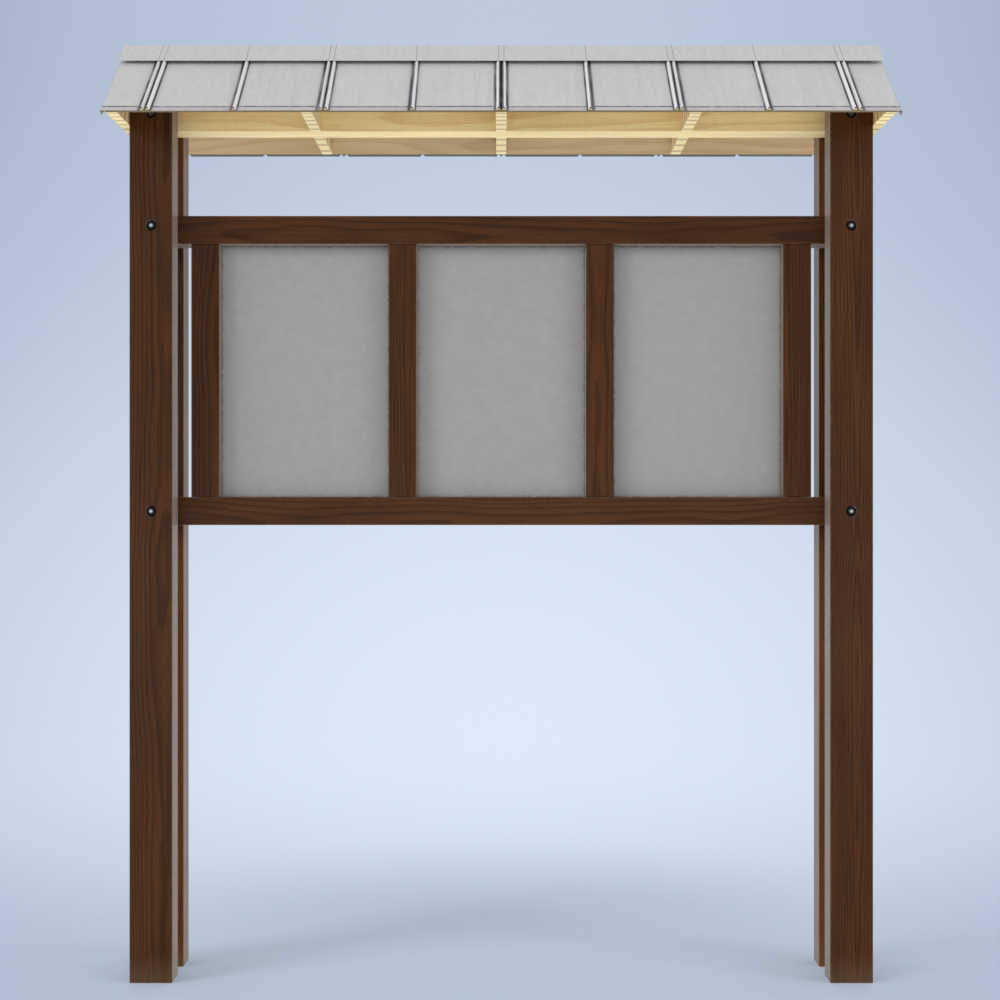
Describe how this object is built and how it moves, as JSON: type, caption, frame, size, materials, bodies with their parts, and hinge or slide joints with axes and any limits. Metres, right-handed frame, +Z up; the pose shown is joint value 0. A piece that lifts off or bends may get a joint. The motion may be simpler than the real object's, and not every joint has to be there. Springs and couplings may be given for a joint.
{
  "type": "information kiosk",
  "caption": "Outdoor timber information kiosk: bolted twin posts, grey notice panels between rails, and a pitched V-crimp metal roof on plywood and solid trusses.",
  "frame": {"origin": "on the ground under the middle of the roof", "axes": "+Z up, +X to the right of someone who stands in front, front towards -Y"},
  "size_m": [2.7438, 0.7608, 3.3745],
  "materials": {
    "brown_stained_timber": "semi-gloss stain",
    "natural_timber": "planed, clear",
    "plywood": "sanded",
    "grey_board": "matt",
    "roof_metal": "satin",
    "zinc_steel": "zinc plated",
    "washer_steel": "weathered zinc"
  },
  "bodies": {
    "root": {"front_left_post": "brown_stained_timber", "front_right_post": "brown_stained_timber", "rear_left_post": "brown_stained_timber", "rear_right_post": "brown_stained_timber", "lower_rail": "brown_stained_timber", "upper_rail": "brown_stained_timber", "left_outer_stile": "brown_stained_timber", "left_inner_stile": "brown_stained_timber", "right_inner_stile": "brown_stained_timber", "right_outer_stile": "brown_stained_timber", "left_panel": "grey_board", "centre_panel": "grey_board", "right_panel": "grey_board", "top_beam": "natural_timber", "left_end_truss": "natural_timber", "left_truss": "natural_timber", "centre_truss": "natural_timber", "right_truss": "natural_timber", "right_end_truss": "natural_timber", "front_deck": "plywood", "rear_deck": "plywood", "front_roof_sheet_1": "roof_metal", "front_roof_sheet_2": "roof_metal", "front_roof_sheet_3": "roof_metal", "front_roof_sheet_4": "roof_metal", "front_roof_sheet_5": "roof_metal", "front_roof_sheet_6": "roof_metal", "rear_roof_sheet_1": "roof_metal", "rear_roof_sheet_2": "roof_metal", "rear_roof_sheet_3": "roof_metal", "rear_roof_sheet_4": "roof_metal", "rear_roof_sheet_5": "roof_metal", "rear_roof_sheet_6": "roof_metal", "ridge_cap": "roof_metal", "lower_left_bolt": "zinc_steel", "lower_left_nut": "zinc_steel", "lower_left_front_washer": "washer_steel", "lower_left_rear_washer": "washer_steel", "lower_right_bolt": "zinc_steel", "lower_right_nut": "zinc_steel", "lower_right_front_washer": "washer_steel", "lower_right_rear_washer": "washer_steel", "upper_left_bolt": "zinc_steel", "upper_left_nut": "zinc_steel", "upper_left_front_washer": "washer_steel", "upper_left_rear_washer": "washer_steel", "upper_right_bolt": "zinc_steel", "upper_right_nut": "zinc_steel", "upper_right_front_washer": "washer_steel", "upper_right_rear_washer": "washer_steel", "top_left_bolt": "zinc_steel", "top_left_nut": "zinc_steel", "top_left_front_washer": "washer_steel", "top_left_rear_washer": "washer_steel", "top_right_bolt": "zinc_steel", "top_right_nut": "zinc_steel", "top_right_front_washer": "washer_steel", "top_right_rear_washer": "washer_steel"}
  },
  "joints": []
}
